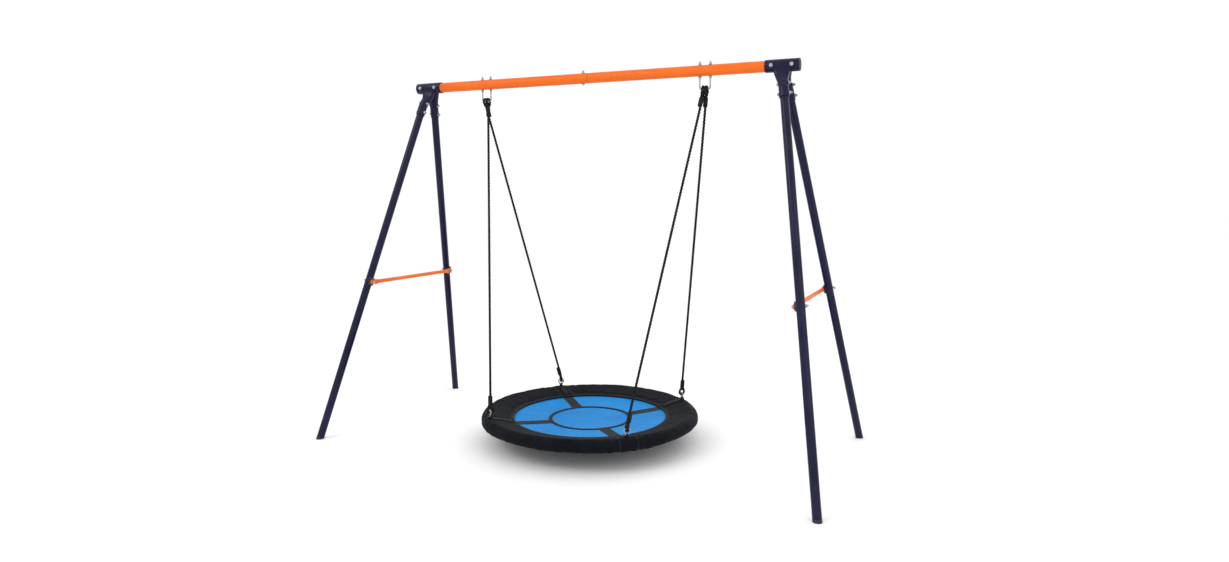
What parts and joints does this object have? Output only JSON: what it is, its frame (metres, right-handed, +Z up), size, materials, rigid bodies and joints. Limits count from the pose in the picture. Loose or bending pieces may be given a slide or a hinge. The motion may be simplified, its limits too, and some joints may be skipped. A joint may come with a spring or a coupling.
{
  "type": "saucer nest swing",
  "caption": "Round padded nest seat on ropes under a steel A-frame swing stand with splayed tube legs and cross braces.",
  "frame": {"origin": "on the ground under the middle of the beam", "axes": "+X along the beam, +Z up, -Y towards the front"},
  "size_m": [2.5384, 1.1998, 1.8421],
  "materials": {
    "orange_paint": "satin orange powder coat",
    "navy_paint": "glossy dark navy powder coat",
    "zinc_steel": "bright zinc plate",
    "ring_steel": "plain black coated steel inside the cover",
    "black_plastic": "moulded black plastic",
    "rope_fibre": "black laid polyethylene rope",
    "cover_fabric": "black woven polyester over foam",
    "webbing": "black flat woven webbing",
    "mat_mesh": "bright blue coated woven mesh"
  },
  "bodies": {
    "stand": {"beam_left": "orange_paint", "beam_right": "orange_paint", "beam_joint_bolt": "zinc_steel", "connector_left_front": "navy_paint", "upper_leg_left_front": "navy_paint", "lower_leg_left_front": "navy_paint", "foot_cap_left_front": "black_plastic", "brace_saddle_left_front": "black_plastic", "brace_bolt_left_front": "zinc_steel", "socket_bolt_left_front_upper": "zinc_steel", "socket_bolt_left_front_lower": "zinc_steel", "connector_left_rear": "navy_paint", "upper_leg_left_rear": "navy_paint", "lower_leg_left_rear": "navy_paint", "foot_cap_left_rear": "black_plastic", "brace_saddle_left_rear": "black_plastic", "brace_bolt_left_rear": "zinc_steel", "socket_bolt_left_rear_upper": "zinc_steel", "socket_bolt_left_rear_lower": "zinc_steel", "connector_right_front": "navy_paint", "upper_leg_right_front": "navy_paint", "lower_leg_right_front": "navy_paint", "foot_cap_right_front": "black_plastic", "brace_saddle_right_front": "black_plastic", "brace_bolt_right_front": "zinc_steel", "socket_bolt_right_front_upper": "zinc_steel", "socket_bolt_right_front_lower": "zinc_steel", "connector_right_rear": "navy_paint", "upper_leg_right_rear": "navy_paint", "lower_leg_right_rear": "navy_paint", "foot_cap_right_rear": "black_plastic", "brace_saddle_right_rear": "black_plastic", "brace_bolt_right_rear": "zinc_steel", "socket_bolt_right_rear_upper": "zinc_steel", "socket_bolt_right_rear_lower": "zinc_steel", "brace_left": "orange_paint", "hanger_bolt_left": "zinc_steel", "head_bolt_left_minus_x": "zinc_steel", "head_bolt_left_plus_x": "zinc_steel", "brace_right": "orange_paint", "hanger_bolt_right": "zinc_steel", "head_bolt_right_minus_x": "zinc_steel", "head_bolt_right_plus_x": "zinc_steel"},
    "swing": {"seat_ring": "ring_steel", "rim_cover": "cover_fabric", "mat": "mat_mesh", "mat_webbing": "webbing", "rope_left_front": "rope_fibre", "pear_ring_left_front": "zinc_steel", "webbing_loop_left_front": "webbing", "rope_left_rear": "rope_fibre", "pear_ring_left_rear": "zinc_steel", "webbing_loop_left_rear": "webbing", "rope_right_front": "rope_fibre", "pear_ring_right_front": "zinc_steel", "webbing_loop_right_front": "webbing", "rope_right_rear": "rope_fibre", "pear_ring_right_rear": "zinc_steel", "webbing_loop_right_rear": "webbing"}
  },
  "joints": [
    {"name": "swing_on_hangers", "type": "hinge", "parent": "stand", "child": "swing", "pos_m": [0, 0, 1.717], "axis": [1, 0, 0], "range_deg": [-45, 45]}
  ]
}
